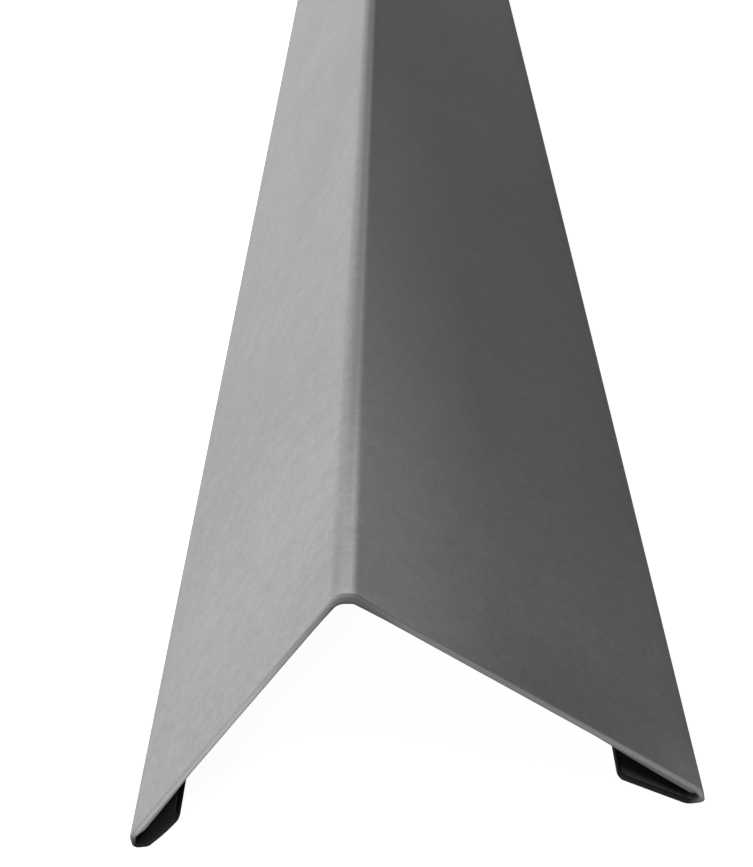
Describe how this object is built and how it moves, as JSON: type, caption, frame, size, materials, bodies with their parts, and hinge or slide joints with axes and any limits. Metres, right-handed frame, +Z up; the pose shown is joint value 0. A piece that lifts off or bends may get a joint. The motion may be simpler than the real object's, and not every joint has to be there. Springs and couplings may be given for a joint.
{
  "type": "internal corner flashing",
  "caption": "Folded sheet-metal corner flashing: two equal 50 mm flanges at a right angle, one rounded ridge bend, and an open hem along each edge as a stiffener and water stop.",
  "frame": {"origin": "middle of the underside of the bounding box, between the two hem noses, half way along the length", "axes": "+Y along the length, +Z up through the ridge bend, +X across to the flange with the wider and more open hem"},
  "size_m": [0.0694, 1, 0.0362],
  "materials": {
    "grey_coat": "satin baked coating on steel sheet, even mid grey, with bare metal on the cut ends"
  },
  "bodies": {
    "root": {"folded_sheet": "grey_coat"}
  },
  "joints": []
}
